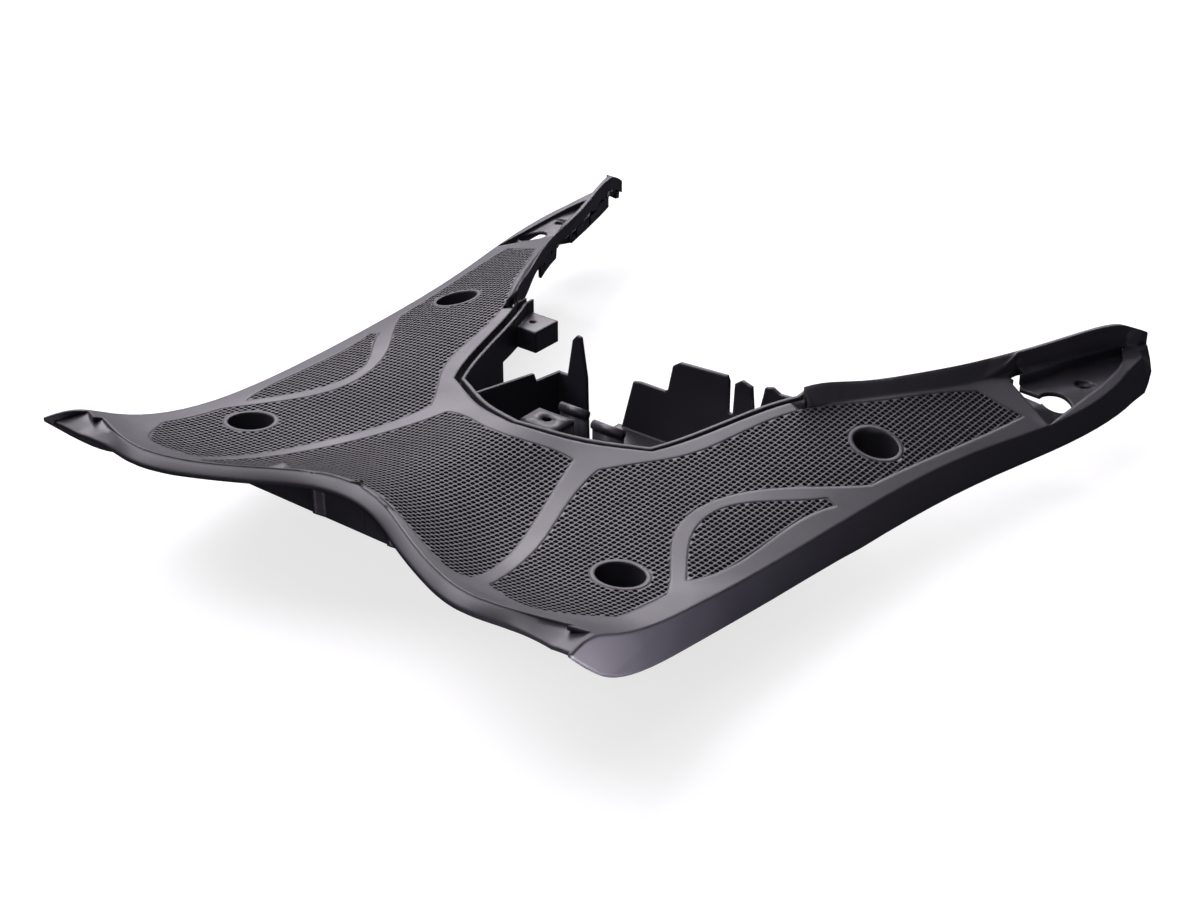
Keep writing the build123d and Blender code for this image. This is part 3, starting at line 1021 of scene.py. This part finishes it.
@dataclass(frozen=True)
class Tread:
    """All five tread fields of the deck, in millimetres: one in the middle, and two on each wing."""

    middle_front: tuple = ((0, -214), (18, -216), (40, -223), (64, -232.5), (86, -239))
    middle_side: tuple = ((92, -233), (80.8, -194), (61, -144), (44, -98))
    middle_rear: tuple = ((44, -98), (30, -100), (15, -105.5), (0, -108))
    wing_front: tuple = ((100, -229.5), (112, -233), (128, -234), (146, -218), (155, -204))
    wing_stripe: tuple = (
        (154.3, -164), (133.6, -133), (121, -110), (118.8, -90), (130.5, -56), (155.7, -22), (168.5, -3)
    )
    wing_outer: tuple = ((168.5, -3), (173, 26), (182.7, 76), (190.5, 122))
    wing_inner: tuple = (
        (163, 118), (150, 97), (129, 57), (111.6, 29.6), (99, -3.4), (84, -58), (69, -80), (59, -96)
    )
    wing_middle: tuple = ((59, -96), (67.3, -132), (81.5, -169), (92.7, -205), (100, -229.5))
    patch_outer: tuple = ((153, -146), (158.4, -129), (160, -82), (166, -33))
    patch_inner: tuple = ((159.5, -31.4), (142.5, -56), (128, -80), (128.5, -105), (136, -121), (153, -146))
    wells: tuple = ((128, -166), (151.2, 29))
    plate: NetPlate = field(default_factory=NetPlate)
    deck: DeckSurface = field(default_factory=DeckSurface)

    def fields(self) -> list[TreadField]:
        """List the fields, the middle one closed by its own mirror image.

        Returns:
            The middle field, then the wing and the patch of each side.
        """
        def far(edge: tuple) -> tuple:
            return tuple((-x, y) for x, y in reversed(edge))

        middle_edges = (self.middle_front, self.middle_side, self.middle_rear)
        middle_edges += tuple(far(edge) for edge in reversed(middle_edges))
        wing_edges = (self.wing_front, self.wing_stripe, self.wing_outer, self.wing_inner, self.wing_middle)
        wing = TreadField("tread_net_wing", wing_edges, self.wells)
        patch = TreadField("tread_net_patch", (self.patch_outer, self.patch_inner))
        sided = [drawn.on_side(side) for drawn in (wing, patch) for side in Side]
        return [TreadField("tread_net_middle", middle_edges), *sided]

    def build(self, finish: bpy.types.Material, painted_pit_shade: bpy.types.Material) -> list[bpy.types.Object]:
        """Build the net plate of every field and dress it.

        Args:
            finish: Material of the nets' ridges.
            painted_pit_shade: Material inside their pits, near-black and dull as painted shade.

        Returns:
            The plates.
        """
        plates = []
        for tread in self.fields():
            plate = self.plate.build(tread, self.deck)
            plate.data.materials.append(finish)
            plate.data.materials.append(painted_pit_shade)
            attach(plate, BODY)
            log.info("%s: %d faces", plate.name, len(plate.data.polygons))
            plates.append(plate)
        return plates


@dataclass(frozen=True)
class Lamp:
    """One soft rectangular lamp, in metres and watts.

    It faces the board, or lies on the floor and faces up, where the camera doesn't see it.
    """

    name: str
    place: tuple[float, float, float]
    size: tuple[float, float]
    power: float
    lies: bool = False
    colour: tuple[float, float, float] = (1.0, 0.94, 1.03)

    def build(self) -> None:
        """Put the lamp in its place."""
        light = bpy.data.lights.new(self.name, "AREA")
        light.shape = "RECTANGLE"
        light.size, light.size_y = self.size
        light.energy = self.power
        light.color = self.colour
        lamp = bpy.data.objects.new(self.name, light)
        lamp.location = self.place
        lamp.visible_camera = not self.lies
        x, y, z = self.place
        if self.lies:
            lamp.rotation_euler = (math.pi, 0, 0)
        else:
            lamp.rotation_euler = (math.atan2(math.hypot(x, y), z), 0, math.atan2(y, x) + math.pi / 2)
        bpy.context.scene.collection.objects.link(lamp)


@dataclass(frozen=True)
class Studio:
    """Pale floor, white surround, soft lamps and the camera, in metres and degrees.

    The deck mirrors the key lamp, the flange mirrors the top and left lamps, and the front of the right skirt
    mirrors the low panel on the floor beside it.
    """

    lamps: tuple[Lamp, ...] = (
        Lamp("key_lamp", (-1.5, 1.7, 1.35), (2.4, 1.5), 66.0),
        Lamp("top_lamp", (-0.3, 0.2, 2.4), (2.0, 2.0), 18.0),
        Lamp("left_lamp", (-1.7, -0.6, 2.3), (2.2, 2.2), 100.0),
        Lamp("front_lamp", (1.0, -2.2, 1.6), (1.2, 1.2), 9.0),
        Lamp("low_panel", (0.42, -0.3, 0.002), (0.4, 0.26), 6.5, lies=True),
    )
    floor_half: float = 6.0
    floor_mirrored_colour: str = "#3e3e43"
    floor_seen_colour: str = "#9c9c9c"
    floor_seen_glow: float = 0.75
    world_strength: float = 0.06
    camera_place: tuple = (0.6692, -0.8669, 0.6109)
    camera_azimuth: float = 38.31
    camera_elevation: float = 28.68
    focal_mm: float = 64.8
    sensor_mm: float = 36.0

    def build(self) -> None:
        """Set up the floor, the surround, the lamps and the camera."""
        self.add_floor()
        self.add_world()
        for lamp in self.lamps:
            lamp.build()
        self.add_camera()
        bpy.context.scene.view_settings.view_transform = "Standard"

    def add_floor(self) -> None:
        """Lay a floor that is near-white with a shadow to the camera, and dark where the board mirrors it."""
        corners = np.array([(-1, -1, 0), (1, -1, 0), (1, 1, 0), (-1, 1, 0)]) * self.floor_half
        floor = mesh_object("studio_floor", corners, [np.array([[0, 1, 2, 3]])])
        material = bpy.data.materials.new("matt_pale_floor")
        material.use_nodes = True
        tree = material.node_tree
        tree.nodes.clear()
        plain, shade = (
            add_node(tree, "ShaderNodeBsdfDiffuse", values={"Color": linear_colour(colour)})
            for colour in (self.floor_mirrored_colour, self.floor_seen_colour)
        )
        glow = add_node(tree, "ShaderNodeEmission", values={"Strength": self.floor_seen_glow})
        seen = add_node(tree, "ShaderNodeAddShader", {0: shade.outputs[0], 1: glow.outputs[0]})
        path = add_node(tree, "ShaderNodeLightPath")
        mix = add_node(
            tree, "ShaderNodeMixShader",
            {0: path.outputs["Is Camera Ray"], 1: plain.outputs[0], 2: seen.outputs[0]},
        )
        add_node(tree, "ShaderNodeOutputMaterial", {"Surface": mix.outputs[0]})
        floor.data.materials.append(material)

    def add_world(self) -> None:
        """Surround the scene with a white that the camera sees in full and that lights the board faintly."""
        world = bpy.data.worlds.new("studio_surround")
        world.use_nodes = True
        tree = world.node_tree
        path = add_node(tree, "ShaderNodeLightPath")
        level = add_node(
            tree, "ShaderNodeMapRange", {"Value": path.outputs["Is Camera Ray"]},
            {"To Min": self.world_strength, "To Max": 1.0},
        )
        surround = tree.nodes["Background"]
        surround.inputs["Color"].default_value = (1.0, 1.0, 1.0, 1.0)
        tree.links.new(level.outputs["Result"], surround.inputs["Strength"])
        bpy.context.scene.world = world

    def add_camera(self) -> None:
        """Place the camera at the photograph's viewpoint, as solved from the board's outline."""
        lens = bpy.data.cameras.new("camera")
        lens.sensor_width = self.sensor_mm
        lens.lens = self.focal_mm
        camera = bpy.data.objects.new("camera", lens)
        camera.location = self.camera_place
        tilt, turn = math.radians(90 - self.camera_elevation), math.radians(self.camera_azimuth)
        camera.rotation_euler = (tilt, 0, turn)
        bpy.context.scene.collection.objects.link(camera)
        bpy.context.scene.camera = camera


def main() -> None:
    """Dress the board, lay the tread, set the studio and report each piece."""
    logging.basicConfig(level=logging.INFO, format="%(name)s: %(message)s")
    deck = DeckSurface()
    plastic = MouldedPolypropylene("moulded_polypropylene").build()
    shell = BoardShell(deck=deck).build(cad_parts["floorboard"])
    for piece in (shell, FrontFlange().build(deck), TrayFittings().build()):
        piece.data.materials.clear()
        piece.data.materials.append(plastic)
        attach(piece, BODY)
        log.info("%s: %d faces", piece.name, len(piece.data.polygons))
    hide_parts("floorboard")
    # The same plastic with a finer grain and crisp edges: the net's ridges catch the light as thin lines
    ridge = MouldedPolypropylene("moulded_polypropylene_tread", grain_height_mm=0.01, edge_radius_mm=0.2)
    # Painted shade: a near-black, dull copy of the plastic on the pits' walls and feet stands in for the
    # shade there, as light hardly gets into the pits: the net looks deep
    pit = MouldedPolypropylene(
        "moulded_polypropylene_pit_painted_shade", colour="#0d0d0f", worn_colour="#121214", roughness=0.75, specular=0.05,
        edge_radius_mm=0.2,
    )
    Tread(deck=deck).build(ridge.build(), pit.build())
    Studio().build()


if __name__ == "__main__":
    main()
